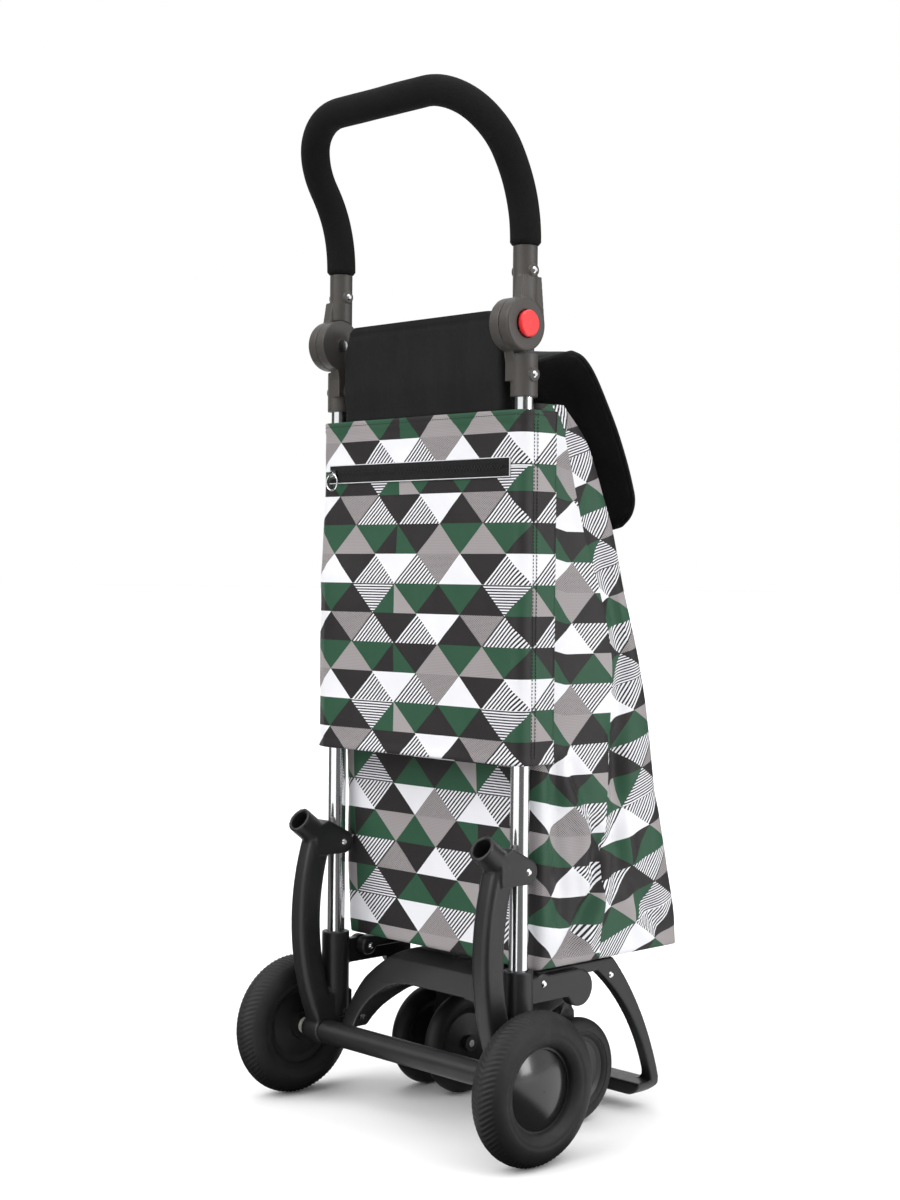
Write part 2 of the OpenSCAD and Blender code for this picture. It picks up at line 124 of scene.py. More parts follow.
def lathe(name, profile, centre, turns=96, shape=None):
    """A ring turned about an axis along X through centre (x, y, z). profile is a closed list of
    (radius, x); shape(radius, x, angle) may change the radius."""
    rows = []
    for j in range(turns):
        angle = 2 * math.pi * j / turns
        row = []
        for radius, x in profile:
            r = shape(radius, x, angle) if shape else radius
            row.append((centre[0] + x, centre[1] + r * math.cos(angle),
                        centre[2] + r * math.sin(angle)))
        rows.append(row)
    rows.append(rows[0])
    piece = grid(name, rows, loop=True)
    weld(piece)
    return piece


def weld(piece, distance=0.02):
    """Joins points that lie on each other and turns all faces outwards."""
    work = bmesh.new()
    work.from_mesh(piece.data)
    bmesh.ops.remove_doubles(work, verts=work.verts, dist=distance * MM)
    bmesh.ops.recalc_face_normals(work, faces=work.faces)
    work.to_mesh(piece.data)
    work.free()


def bake_modifiers(piece):
    """Replaces a piece's mesh with what its modifiers make of it."""
    bpy.context.view_layer.update()
    view = piece.evaluated_get(bpy.context.evaluated_depsgraph_get())
    mesh = bpy.data.meshes.new_from_object(view)
    piece.modifiers.clear()
    piece.data = mesh


def modifier(piece, kind, **settings):
    made = piece.modifiers.new(kind.title(), kind)
    for key, value in settings.items():
        setattr(made, key, value)
    return made


def solidify(piece, thickness, offset=-1.0):
    modifier(piece, "SOLIDIFY", thickness=thickness * MM, offset=offset)


def moulded_copy(node, body, voxel=1.3, passes=5, keep=0.35):
    """A moulding with blended corners and rounded edges in place of a CAD node."""
    piece = bpy.data.objects.new(node + "_moulding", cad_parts[node].data.copy())
    bpy.context.scene.collection.objects.link(piece)
    modifier(piece, "REMESH", mode="VOXEL", voxel_size=voxel * MM)
    modifier(piece, "SMOOTH", factor=0.5, iterations=passes)
    modifier(piece, "DECIMATE", ratio=keep)
    bake_modifiers(piece)
    piece.data.polygons.foreach_set("use_smooth", [True] * len(piece.data.polygons))
    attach(piece, body)
    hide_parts(node)
    return piece


# --------------------------------------------------------------- materials

class Paint:
    """One material, with short calls for the nodes of its patterns."""

    def __init__(self, name, color=(0.5, 0.5, 0.5), **sockets):
        self.material = bpy.data.materials.new(name)
        self.material.use_nodes = True
        self.tree = self.material.node_tree
        self.shader = self.tree.nodes["Principled BSDF"]
        self.shader.inputs["Base Color"].default_value = (*color, 1)
        for socket, value in sockets.items():
            self.shader.inputs[socket.replace("_", " ")].default_value = value
        self.place = self.add("ShaderNodeTexCoord").outputs["Object"]

    def add(self, kind, values=None, **settings):
        node = self.tree.nodes.new(kind)
        for key, value in settings.items():
            setattr(node, key, value)
        for key, value in (values or {}).items():
            self.feed(node.inputs[key], value)
        return node

    def feed(self, socket, value):
        if isinstance(value, bpy.types.NodeSocket):
            self.tree.links.new(value, socket)
        elif socket.type == "RGBA" and len(value) == 3:
            socket.default_value = (*value, 1)
        else:
            socket.default_value = value

    def math(self, operation, *values):
        return self.add("ShaderNodeMath", dict(enumerate(values)), operation=operation).outputs[0]

    def mapped(self, stretch):
        return self.add("ShaderNodeMapping", {"Vector": self.place, "Scale": stretch}).outputs[0]

    def noise(self, scale, detail=2.0, stretch=(1, 1, 1)):
        """Noise from 0 to 1, with scale in cells a metre."""
        return self.add("ShaderNodeTexNoise", {"Vector": self.mapped(stretch), "Scale": scale,
                                               "Detail": detail}).outputs["Fac"]

    def cells(self, scale):
        return self.add("ShaderNodeTexVoronoi",
                        {"Vector": self.place, "Scale": scale}).outputs["Distance"]

    def span(self, value, low, high, start=0.0, stop=1.0):
        """Maps start..stop to low..high."""
        return self.add("ShaderNodeMapRange", {"Value": value, "From Min": start, "From Max": stop,
                                               "To Min": low, "To Max": high}).outputs[0]

    def mix(self, factor, a, b):
        node = self.add("ShaderNodeMix", data_type="RGBA")
        self.feed(node.inputs[0], factor)
        self.feed(node.inputs[6], a)
        self.feed(node.inputs[7], b)
        return node.outputs[2]

    def bump(self, height, depth, strength=1.0, over=None):
        """A bump of that depth in millimetres, on top of another one if given."""
        values = {"Height": height, "Distance": depth * MM, "Strength": strength}
        if over is not None:
            values["Normal"] = over
        return self.add("ShaderNodeBump", values).outputs[0]

    def finish(self, color=None, rough=None, normal=None):
        for socket, value in (("Base Color", color), ("Roughness", rough), ("Normal", normal)):
            if value is not None:
                self.feed(self.shader.inputs[socket], value)
        return self.material


def tone(red, green, blue):
    """An 8-bit screen colour as Blender's linear colour."""
    return tuple((c / 255 / 12.92) if c < 11 else ((c / 255 + 0.055) / 1.055) ** 2.4
                 for c in (red, green, blue))


def moulded_plastic(name, color, rough, grain=0.05, edge=1.25):
    """Textured injection-moulded plastic: fine grain, soft sheen and slightly worn high spots."""
    paint = Paint(name, color, Specular_IOR_Level=0.4)
    cloud = paint.noise(28, 3)
    lighter = tuple(min(1, c * edge) for c in color)
    fine = paint.noise(2600, 1)
    bumps = paint.bump(fine, grain, over=paint.bump(paint.noise(420, 2), grain * 1.2))
    return paint.finish(paint.mix(paint.span(cloud, 0, 1, 0.35, 0.7), color, lighter),
                        paint.span(paint.noise(90, 3), rough - 0.06, rough + 0.08), bumps)


def polished_metal(name, color, rough, lines=(1, 1, 0.02)):
    """Drawn metal: mirror-like, with fine draw lines along the tube."""
    paint = Paint(name, color, Metallic=1.0)
    draw = paint.noise(1500, 2, lines)
    spots = paint.noise(60, 4)
    return paint.finish(None, paint.span(spots, rough * 0.75, rough * 1.35),
                        paint.bump(draw, 0.006))


def foam_rubber():
    """Closed-cell foam: matt black with small open pores."""
    paint = Paint("foam_rubber", tone(20, 19, 19), Specular_IOR_Level=0.15)
    pores = paint.bump(paint.cells(1500), 0.12, over=paint.bump(paint.noise(70, 3), 0.5, 0.5))
    cloud = paint.span(paint.noise(900, 2), 0, 1, 0.3, 0.7)
    return paint.finish(paint.mix(cloud, tone(15, 14, 14), tone(26, 25, 25)),
                        paint.span(paint.noise(30, 2), 0.82, 0.95), pores)


def tyre_rubber():
    """Matt rubber with a little dust."""
    paint = Paint("tyre_rubber", tone(30, 30, 30), Specular_IOR_Level=0.3)
    dust = paint.span(paint.noise(45, 5), 0, 1, 0.5, 0.8)
    return paint.finish(paint.mix(dust, tone(28, 28, 28), tone(40, 39, 39)),
                        paint.span(paint.noise(160, 3), 0.48, 0.66),
                        paint.bump(paint.noise(1800, 2), 0.05))


def gloss_plastic(name, color, rough=0.16):
    """Glossy moulded plastic with faint flow marks."""
    paint = Paint(name, color, Specular_IOR_Level=0.5, Coat_Weight=0.25, Coat_Roughness=0.08)
    return paint.finish(paint.mix(paint.noise(30, 2), color, tuple(c * 1.3 for c in color)),
                        paint.span(paint.noise(120, 4), rough * 0.8, rough * 1.5),
                        paint.bump(paint.noise(35, 2), 0.15, 0.4))


def plain_plastic(name, color, rough=0.45):
    paint = Paint(name, color)
    return paint.finish(paint.mix(paint.noise(50, 2), color, tuple(c * 0.8 for c in color)),
                        paint.span(paint.noise(200, 3), rough - 0.08, rough + 0.08),
                        paint.bump(paint.noise(900, 2), 0.03))


def black_canvas():
    """Plain-woven black polyester with a soft sheen."""
    paint = Paint("black_canvas", tone(18, 18, 19), Sheen_Weight=0.04, Sheen_Roughness=0.45,
                  Specular_IOR_Level=0.2)
    split = paint.add("ShaderNodeSeparateXYZ", {"Vector": paint.place}).outputs
    thread = 2 * math.pi / 0.0009
    weft = paint.math("SINE", paint.math("MULTIPLY", split["X"], thread))
    warp = paint.math("SINE", paint.math("MULTIPLY", split["Z"], thread))
    weave = paint.bump(paint.math("MULTIPLY", weft, warp), 0.05)
    soft = paint.bump(paint.noise(22, 3, (1.6, 1, 0.5)), 1.6, 0.6, over=weave)
    cloud = paint.span(paint.noise(16, 3, (2, 1, 0.6)), 0, 1, 0.3, 0.75)
    return paint.finish(paint.mix(cloud, tone(14, 14, 15), tone(24, 24, 25)),
                        paint.span(paint.noise(300, 2), 0.62, 0.8), soft)


# The print: rows of triangles, six half bases and four rows to a repeat. Each row lists its six
# triangles as (left half, right half, pattern).
WHITE = tone(236, 236, 240)
BLACK = tone(36, 33, 34)
GREEN = tone(40, 80, 58)
GREY = tone(160, 154, 155)
PLAIN = 0.0
SLANTED = 0.2
LEVEL = 0.4
HATCHED = 0.6
FINE = 0.8
PRINT = [
    [(GREEN, GREEN, PLAIN), (GREY, GREY, FINE), (GREEN, GREEN, PLAIN),
     (BLACK, GREEN, PLAIN), (BLACK, BLACK, PLAIN), (GREY, GREY, FINE)],
    [(WHITE, WHITE, PLAIN), (BLACK, BLACK, PLAIN), (WHITE, WHITE, SLANTED),
     (WHITE, WHITE, PLAIN), (WHITE, WHITE, SLANTED), (GREY, GREY, HATCHED)],
    [(GREEN, GREEN, PLAIN), (BLACK, BLACK, PLAIN), (WHITE, WHITE, LEVEL),
     (GREEN, GREY, PLAIN), (GREEN, GREEN, PLAIN), (BLACK, BLACK, PLAIN)],
    [(BLACK, BLACK, PLAIN), (GREY, GREY, HATCHED), (WHITE, WHITE, SLANTED),
     (BLACK, BLACK, PLAIN), (WHITE, WHITE, SLANTED), (WHITE, WHITE, PLAIN)],
]
HALF_BASE = 32.4  # half a triangle's base, in millimetres
ROW = 31.8        # a triangle's height


def steps(paint, index, values):
    """A colour for each whole number from 0."""
    node = paint.add("ShaderNodeValToRGB", {"Fac": paint.math("DIVIDE", index, len(values))})
    ramp = node.color_ramp
    ramp.interpolation = "CONSTANT"
    for i, value in enumerate(values):
        stop = ramp.elements[i] if i < 2 else ramp.elements.new(i / len(values))
        stop.position = i / len(values)
        stop.color = (*value, 1)
    return node.outputs["Color"]


def printed_cloth():
    """Smooth printed polyester, whose pattern follows the cloth attribute."""
    paint = Paint("printed_cloth", WHITE, Sheen_Weight=0.03, Sheen_Roughness=0.4,
                  Specular_IOR_Level=0.3)
    calc = paint.math
    cloth = paint.add("ShaderNodeAttribute", attribute_name="cloth").outputs["Vector"]
    split = paint.add("ShaderNodeSeparateXYZ", {"Vector": cloth}).outputs
    base, height = split["X"], split["Y"]
    row = calc("FLOOR", height)
    down = calc("SUBTRACT", height, row)
    row = calc("FLOORED_MODULO", row, 4.0)
    shift = calc("SUBTRACT", 1.0, calc("FLOORED_MODULO", row, 2.0))
    middle = calc("ADD", calc("MULTIPLY", 2.0, calc("ROUND", calc(
        "MULTIPLY", 0.5, calc("SUBTRACT", base, shift)))), shift)
    off = calc("SUBTRACT", base, middle)
    outside = calc("GREATER_THAN", calc("ABSOLUTE", off), down)
    number = calc("ADD", middle, calc("MULTIPLY", outside, calc("SIGN", off)))
    right = calc("GREATER_THAN", base, number)
    index = calc("ADD", calc("MULTIPLY", row, 6.0), calc("FLOORED_MODULO", number, 6.0))
    index = calc("ADD", index, 0.5)
    flat = [triangle for line in PRINT for triangle in line]
    color = paint.mix(right, steps(paint, index, [t[0] for t in flat]),
                      steps(paint, index, [t[1] for t in flat]))
    kind = steps(paint, index, [(t[2],) * 3 for t in flat])

    def lines(value, pitch, share):
        """1 on a dark line, where value is in millimetres."""
        turn = calc("FLOORED_MODULO", calc("DIVIDE", value, pitch), 1.0)
        return calc("LESS_THAN", turn, share)

    def where(mask, pattern):
        return calc("MULTIPLY", calc("COMPARE", kind, mask, 0.05), pattern)

    across = calc("MULTIPLY", base, HALF_BASE)
    level = calc("MULTIPLY", height, ROW)
    rise = calc("MULTIPLY", calc("ADD", base, height), HALF_BASE)
    fall = calc("MULTIPLY", calc("SUBTRACT", base, height), HALF_BASE)
    dark = calc("ADD", where(SLANTED, lines(rise, 5.4, 0.48)), where(LEVEL, lines(level, 2.9, 0.5)))
    hatch = calc("MULTIPLY", lines(rise, 2.5, 0.5), lines(fall, 2.5, 0.5))
    faint = calc("ADD", where(HATCHED, hatch), calc("MULTIPLY", 0.16, where(FINE, lines(level, 1.6, 0.5))))
    color = paint.mix(dark, color, BLACK)
    color = paint.mix(faint, color, BLACK)
    cloud = paint.span(paint.noise(9, 3), 0.93, 1.0, 0.3, 0.7)
    shade = paint.add("ShaderNodeMix", data_type="RGBA", blend_type="MULTIPLY")
    paint.feed(shade.inputs[0], 1.0)
    paint.feed(shade.inputs[6], color)
    paint.feed(shade.inputs[7], cloud)
    thread = 2 * math.pi / 0.7
    weave = calc("MULTIPLY", calc("SINE", calc("MULTIPLY", across, thread)),
                 calc("SINE", calc("MULTIPLY", level, thread)))
    crumple = paint.bump(paint.noise(48, 3), 0.5, 0.5, over=paint.bump(weave, 0.03))
    return paint.finish(shade.outputs[2], paint.span(paint.noise(120, 2), 0.42, 0.56), crumple)


def fabric_tape():
    """Zip tape: fine diagonal twill."""
    paint = Paint("fabric_tape", tone(20, 20, 21), Sheen_Weight=0.03, Specular_IOR_Level=0.2)
    split = paint.add("ShaderNodeSeparateXYZ", {"Vector": paint.place}).outputs
    slope = paint.math("ADD", split["X"], split["Z"])
    twill = paint.math("SINE", paint.math("MULTIPLY", slope, 2 * math.pi / 0.0012))
    return paint.finish(paint.mix(paint.noise(80, 2), tone(15, 15, 16), tone(26, 26, 27)),
                        paint.span(paint.noise(400, 2), 0.6, 0.8), paint.bump(twill, 0.08))


ALUMINIUM = polished_metal("aluminium", (0.86, 0.87, 0.88), 0.13)
STEEL = polished_metal("bright_steel", (0.80, 0.80, 0.81), 0.2, (1, 1, 1))
CHROME = polished_metal("chrome", (0.90, 0.90, 0.91), 0.07, (1, 1, 1))
BLACK_PLASTIC = moulded_plastic("black_plastic", tone(29, 29, 30), 0.36)
HINGE_PLASTIC = moulded_plastic("hinge_plastic", tone(66, 63, 60), 0.42, 0.07, 1.15)
RED_PLASTIC = gloss_plastic("red_plastic", tone(222, 45, 48), 0.3)
HUB_PLASTIC = gloss_plastic("hub_plastic", tone(24, 24, 25), 0.17)
NYLON = plain_plastic("nylon", tone(215, 212, 203))
BOARD = plain_plastic("grey_board", tone(108, 100, 88), 0.8)
RUBBER = tyre_rubber()
FOAM = foam_rubber()
CANVAS = black_canvas()
PRINTED = printed_cloth()
TAPE = fabric_tape()
THREAD = plain_plastic("thread", tone(26, 26, 27), 0.7)
EDGING = plain_plastic("pale_edging", tone(225, 225, 228), 0.6)


def paint_all(piece, material):
    piece.data.materials.clear()
    piece.data.materials.append(material)


def dress(piece, body, material):
    """The last touches of a new piece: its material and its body."""
    paint_all(piece, material)
    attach(piece, body)
    return piece


# ------------------------------------------------- CAD nodes that stay as they are

FINISHES = {
    ALUMINIUM: ["frame_tube_left", "frame_tube_right", "handle_tube"],
    STEEL: ["main_axle", "axle_clips", "hinge_pins", "arm_rivets", "socket_rivets_lower",
            "socket_rivets_upper", "plate_rivets", "foot_rivets", "bridge_pins", "caster_stem_left",
            "caster_stem_right", "caster_axle_left", "caster_axle_right", "lock_spring_left",
            "lock_spring_right"],
    CHROME: ["zip_puller", "zip_slider"],
    BLACK_PLASTIC: ["crossbar", "lock_star_left", "lock_star_right", "wheel_hub_left",
                    "wheel_hub_right"],
    RED_PLASTIC: ["release_button_left", "release_button_right"],
    HUB_PLASTIC: ["hub_cap_left", "hub_cap_right"],
    NYLON: ["wheel_bush_left", "wheel_bush_right", "stem_bushes"],
    BOARD: ["bag_base_board"],
}
CASTERS = ["left_outer", "left_inner", "right_inner", "right_outer"]


def finish_cad_nodes():
    for material, nodes in FINISHES.items():
        for node in nodes:
            paint_all(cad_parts[node], material)
    for place in CASTERS:
        paint_all(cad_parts["caster_tyre_" + place], RUBBER)
        paint_all(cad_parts["caster_hub_" + place], BLACK_PLASTIC)
    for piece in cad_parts.values():
        modifier(piece, "EDGE_SPLIT", split_angle=math.radians(32))
        piece.data.polygons.foreach_set("use_smooth", [True] * len(piece.data.polygons))


def make_mouldings():
    """The moulded plastic pieces, with blended corners."""
    for side in ("left", "right"):
        piece = moulded_copy("chassis_side_" + side, "frame")
        paint_all(piece, BLACK_PLASTIC)
        piece = moulded_copy("caster_yoke_" + side, "caster_" + side)
        paint_all(piece, BLACK_PLASTIC)
        for node, body in (("hinge_base_", "frame"), ("hinge_arm_", "handle")):
            piece = moulded_copy(node + side, body, 0.7, 5, 0.3)
            paint_all(piece, HINGE_PLASTIC)
    for node in ("foot_frame", "front_bridge"):
        piece = moulded_copy(node, "frame")
        paint_all(piece, BLACK_PLASTIC)


# ------------------------------------------------------------------ wheels

WHEEL_R = 78
WHEEL_Y = -22.6
TRACK = 375
TYRE_R = 20


def make_tyre(side, sign):
    """Round tyre with chevron blocks in its middle band and a ring groove on each flank."""
    seat = 43.1
    start = math.acos((seat - (WHEEL_R - TYRE_R)) / TYRE_R)
    profile = []
    for i in range(57):
        turn = start - 2 * start * i / 56
        radius = WHEEL_R - TYRE_R + TYRE_R * math.cos(turn)
        groove = 0.9 * math.exp(-((radius - 54.5) / 0.9) ** 2) * (1 if i not in (0, 56) else 0)
        profile.append((radius, (TYRE_R - groove) * math.sin(turn)))
    chevrons = 84

    def tread(radius, x, angle):
        if abs(x) > 15.5 or radius < WHEEL_R - 12:
            return radius
        turn = (angle * chevrons / (2 * math.pi) + abs(x) / 9) % 1.0
        block = min(1.0, max(0.0, 3.2 * abs(turn - 0.5) - 0.35))
        fade = min(1.0, (15.5 - abs(x)) / 3)
        return radius - 0.95 * (1 - block) * fade

    piece = lathe("wheel_tyre_" + side + "_rubber", profile, (sign * TRACK / 2, WHEEL_Y, WHEEL_R),
                  chevrons * 6, tread)
    dress(piece, "wheel_" + side, RUBBER)
    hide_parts("wheel_tyre_" + side)


# ------------------------------------------------------------------ handle

FOAM_R = 16
GRIP_FOOT = 924
BEND_Z = 929.7
LEAN_R = 152
LEAN = math.radians(33)
LEAN_STRAIGHT = 4.1
CORNER_R = 77.6


def handle_path():
    """The middle line of the foam grip, from the foot of the left leg to that of the right."""
    half = [(TUBE_X, 0, GRIP_FOOT)]
    for i in range(25):
        turn = LEAN * i / 24
        half.append((TUBE_X, -LEAN_R * (1 - math.cos(turn)), BEND_Z + LEAN_R * math.sin(turn)))
    base_y, base_z = half[-1][1:]

    def leaning(x, rise):
        return (x, base_y - rise * math.sin(LEAN), base_z + rise * math.cos(LEAN))

    for i in range(25):
        turn = math.pi / 2 * i / 24
        half.append(leaning(TUBE_X - CORNER_R * (1 - math.cos(turn)),
                            LEAN_STRAIGHT + CORNER_R * math.sin(turn)))
    inner = TUBE_X - CORNER_R
    for i in range(1, 11):
        half.append(leaning(inner * (1 - i / 10), LEAN_STRAIGHT + CORNER_R))
    left = [(-x, y, z) for x, y, z in half]
    return left + half[-2::-1]


def make_grip():
    """Foam grip, a little squeezed where hands hold it, with rounded ends."""
    path = handle_path()
    fine = []
    for a, b in zip(path[:-1], path[1:]):
        count = max(1, round((Vector(b) - Vector(a)).length / 3))
        fine += [tuple(Vector(a).lerp(Vector(b), i / count)) for i in range(count)]
    fine.append(path[-1])
    along = [0.0]
    for a, b in zip(fine[:-1], fine[1:]):
        along.append(along[-1] + (Vector(b) - Vector(a)).length)
    rings = []
    for point, s in zip(fine, along):
        end = min(s, along[-1] - s)
        round_end = FOAM_R - 2.2 * max(0.0, 1 - end / 3) ** 2
        ring = []
        for k in range(40):
            angle = 2 * math.pi * k / 40
            dent = 0.35 * noise.noise(Vector((s / 38, math.cos(angle) * 1.3, math.sin(angle) * 1.3)))
            radius = round_end + dent - 0.15
            ring.append((radius * math.cos(angle), radius * math.sin(angle)))
        rings.append(ring)
    piece = sweep("foam_grip", fine, rings)
    weld(piece)
    dress(piece, "handle", FOAM)
    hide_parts("handle_grip")


# --------------------------------------------------------------------- bag

BAG_X = 150
BAG_BOTTOM = 182
BAG_TOP = 765
# Heights with the y of the bag's back, of the crease in its sides and of its front
BACK_LINE = [(182, 23), (420, 12), (765, 12)]
CREASE_LINE = [(182, 118), (285, 123), (400, 130), (500, 132), (562, 115), (626, 87), (690, 66),
               (765, 42)]
FRONT_LINE = [(182, 250), (230, 249), (453, 209), (640, 150), (690, 128), (728, 110), (750, 90),
              (765, 62)]


def value(line, z):
    """The y of a line at a height."""
    return float(np.interp(z, [p[0] for p in line], [p[1] for p in line]))


def smooth_value(line, z, reach=26):
    """The same with rounded corners."""
    return sum(value(line, z + k * reach / 4) * (5 - abs(k)) for k in range(-4, 5)) / 25


# Folds of a side, as points (y, z), height and half width
FOLDS = [
    ([(56, 400), (60, 372), (76, 348), (96, 318), (90, 286), (96, 258)], 7.0, 10),
    ([(70, 392), (84, 372), (98, 352)], -6.0, 9),
    ([(122, 300), (116, 268), (100, 240), (82, 214), (70, 194)], -11.0, 10),
    ([(132, 290), (128, 262), (114, 234), (100, 206)], 7.0, 9),
    ([(104, 330), (112, 305), (108, 282)], -7.0, 8),
    ([(30, 395), (33, 330), (30, 262), (38, 205)], 4.0, 10),
    ([(46, 396), (47, 340), (52, 300), (60, 262), (58, 225)], -6.5, 9),
    ([(168, 268), (188, 234), (216, 202)], -6.0, 8),
    ([(152, 246), (172, 222), (196, 196)], 4.5, 9),
    ([(150, 340), (160, 296), (178, 256)], 5.0, 12),
    ([(136, 420), (146, 380), (150, 340)], -4.5, 9),
    ([(196, 330), (206, 270), (224, 214)], 3.5, 14),
]


def distance_to(line, y, z):
    best = 1e9
    for (y1, z1), (y2, z2) in zip(line[:-1], line[1:]):
        dy, dz = y2 - y1, z2 - z1
        t = max(0.0, min(1.0, ((y - y1) * dy + (z - z1) * dz) / (dy * dy + dz * dz)))
        best = min(best, math.hypot(y - y1 - t * dy, z - z1 - t * dz))
    return best


def bag_relief(x, y, z, part):
    """How far the bag's cloth stands out from its plain shape."""
    low = min(1.0, max(0.0, (z - BAG_BOTTOM) / 14))
    seed = 0 if x > 0 else 31
    wave = 2.0 * noise.noise(Vector((x / 55 + seed, y / 60, z / 95)))
    wave += 0.9 * noise.noise(Vector((x / 22, y / 24 + seed, z / 40)))
    if part == "back":
        return low * (wave * 0.7 - 1.0)
    if part == "front":
        return low * (wave + 5 * math.sin(math.pi * min(1, (z - BAG_BOTTOM) / 420)) *
                      math.cos(math.pi * x / 2 / BAG_X) - 5)
    out = wave
    crease = smooth_value(CREASE_LINE, z)
    front = smooth_value(FRONT_LINE, z)
    ahead = y - crease
    sharp = min(1.0, max(0.0, (z - 215) / 60))
    out += 2.5 * sharp * math.exp(-abs(ahead) / 7)
    hollow = min(1.0, max(0.0, (700 - z) / 160)) * sharp
    out -= 7.5 * hollow * math.exp(-((ahead - 17) / 12) ** 2)
    wide = max(20.0, front - crease)
    if ahead > 0:
        out += 3 * math.sin(math.pi * min(1.0, ahead / wide)) * sharp
    for line, height, width in FOLDS:
        out += height * math.exp(-(distance_to(line, y, z) / width) ** 2)
    return low * out - 1.0


def bag_section(z):
    """Half of the bag's outline at a height, from the middle of its back to the middle of its
    front, as (x, y, part)."""
    back, crease, front = (smooth_value(line, z) for line in (BACK_LINE, CREASE_LINE, FRONT_LINE))
    low = max(0.0, min(1.0, (z - BAG_BOTTOM) / 160))
    r_back = 9 + 4 * low
    r_front = 8 + 24 * low
    points = [((BAG_X - r_back) * i / 22, back, "back") for i in range(23)]
    for i in range(1, 7):
        turn = math.pi / 2 * i / 6
        points.append((BAG_X - r_back * (1 - math.sin(turn)), back + r_back * (1 - math.cos(turn)),
                       "back" if i < 3 else "side"))
    start, stop = back + r_back, front - r_front
    crease = min(crease, stop - 6)
    points += [(BAG_X, start + (crease - start) * i / 22, "side") for i in range(1, 23)]
    points += [(BAG_X, crease + (stop - crease) * i / 20, "ahead") for i in range(1, 21)]
    for i in range(1, 9):
        turn = math.pi / 2 * i / 8
        points.append((BAG_X - r_front * (1 - math.cos(turn)), stop + r_front * math.sin(turn),
                       "ahead" if i < 4 else "front"))
    points += [((BAG_X - r_front) * (1 - i / 18), front, "front") for i in range(1, 19)]
    return points


def front_length(z):
    """Length along the bag's sloping front, up from its bottom."""
    heights = np.linspace(BAG_BOTTOM, max(z, BAG_BOTTOM + 0.01), 40)
    line = [smooth_value(FRONT_LINE, h) for h in heights]
    return float(np.hypot(np.diff(line), np.diff(heights)).sum())


BAG_LEVELS = 92
FULL_LENGTH = 100   # the side's print keeps its width this far round from the back's middle
WIDE_HALF_BASE = 34.5
BAND = 40           # print from the front edge to the middle of a triangle


def make_bag():
    """Printed bag: a lofted shell with folds, a crease in each side and a flat bottom."""
    levels = list(np.linspace(BAG_TOP, BAG_BOTTOM + 6, BAG_LEVELS)) + [184.4, 183.0, 182.4]
    insets = [0] * BAG_LEVELS + [0.4, 1.4, 3.2]
    rows, flat = [], []
    slope_table = {z: front_length(z) for z in levels}
    for z, inset in zip(levels, insets):
        half = bag_section(z)
        whole = half + [(-x, y, part) for x, y, part in half[-2:0:-1]]
        plan = np.array([(x, y) for x, y, _ in whole])
        tangent = np.roll(plan, -1, 0) - np.roll(plan, 1, 0)
        normal = np.stack([tangent[:, 1], -tangent[:, 0]], 1)
        normal /= np.linalg.norm(normal, axis=1)[:, None]
        push = np.array([bag_relief(x, y, z, part) for x, y, part in whole]) - inset
        push = (push + np.roll(push, 1) + np.roll(push, -1)) / 3
        moved = plan + normal * push[:, None]
        along = np.concatenate([[0], np.cumsum(np.linalg.norm(np.diff(plan, axis=0), axis=1))])
        rows.append([(x, y, z) for x, y in moved])
        flat.append([(p[0], p[1], z, a, p[2]) for p, a in zip(whole, along)])
    centre = (0, 135)
    for share in (0.94, 0.8, 0.5, 0.2, 0.02):
        rows.append([(centre[0] + (x - centre[0]) * share, centre[1] + (y - centre[1]) * share,
                      BAG_BOTTOM + 0.4) for x, y, _ in rows[BAG_LEVELS + 2]])
        flat.append([(centre[0] + (x - centre[0]) * share, centre[1] + (y - centre[1]) * share,
                      BAG_BOTTOM, a, "under") for x, y, _, a, _ in flat[BAG_LEVELS + 2]])
    piece = grid("printed_bag", rows, loop=True, outside=(0, -1, 0))
    wide = len(rows[0])
    half_count = wide // 2

    def cloth(index, part):
        x, y, z, along, _ = flat[index // wide][index % wide]
        if part == "under":
            return x / HALF_BASE, y / ROW
        if part in ("back", "side"):
            total = flat[index // wide][half_count][3] * 2
            run = along if index % wide <= half_count else along - total
            left = run < 0 if part == "side" else run < -1
            turned = -run if left else run
            reach = min(turned, FULL_LENGTH) / HALF_BASE
            reach += max(turned - FULL_LENGTH, 0) / WIDE_HALF_BASE
            u = 5 + reach if left else 5 - reach
            drop = 10 * min(1.0, max(0.0, (y - 14) / 46))
            return u, 2 + (z - 358.7 + drop) / ROW
        front = smooth_value(FRONT_LINE, z)
        up = slope_table.get(z, 0.0) - slope_table[levels[20]] + (levels[20] - 640)
        if part == "front":
            return 2 - (BAND + BAG_X - x) / HALF_BASE, -1 + up / ROW
        slope = math.radians(19)
        behind = (front - y) * math.cos(slope)
        up += behind * math.sin(slope)
        if x > 0:
            return 2 + (behind - BAND) / HALF_BASE, -1 + up / ROW
        return 2 - (BAND + 2 * BAG_X + behind) / HALF_BASE, -1 + up / ROW

    def place(face):
        parts = [flat[v // wide][v % wide][4] for v in face.vertices]
        if "under" in parts:
            part = "under"
        elif "side" in parts and "ahead" not in parts:
            part = "side"
        elif "back" in parts:
            part = "back"
        elif "ahead" in parts:
            part = "ahead"
        else:
            part = "front"
        return [cloth(v, part) for v in face.vertices]

    print_on(piece, place)
    solidify(piece, 1.4)
    dress(piece, "frame", PRINTED)
    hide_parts("bag_body")
    return piece


# ------------------------------------------------------------------ pocket

POCKET_LOW = 396
POCKET_HIGH = 757
POCKET_X = 158
POCKET_Y = -15.5
POCKET_CORNER = 14  # radius of the corners
POCKET_WING = 34    # y where its sides end
ZIP_Z = 699
ZIP_Y = -17


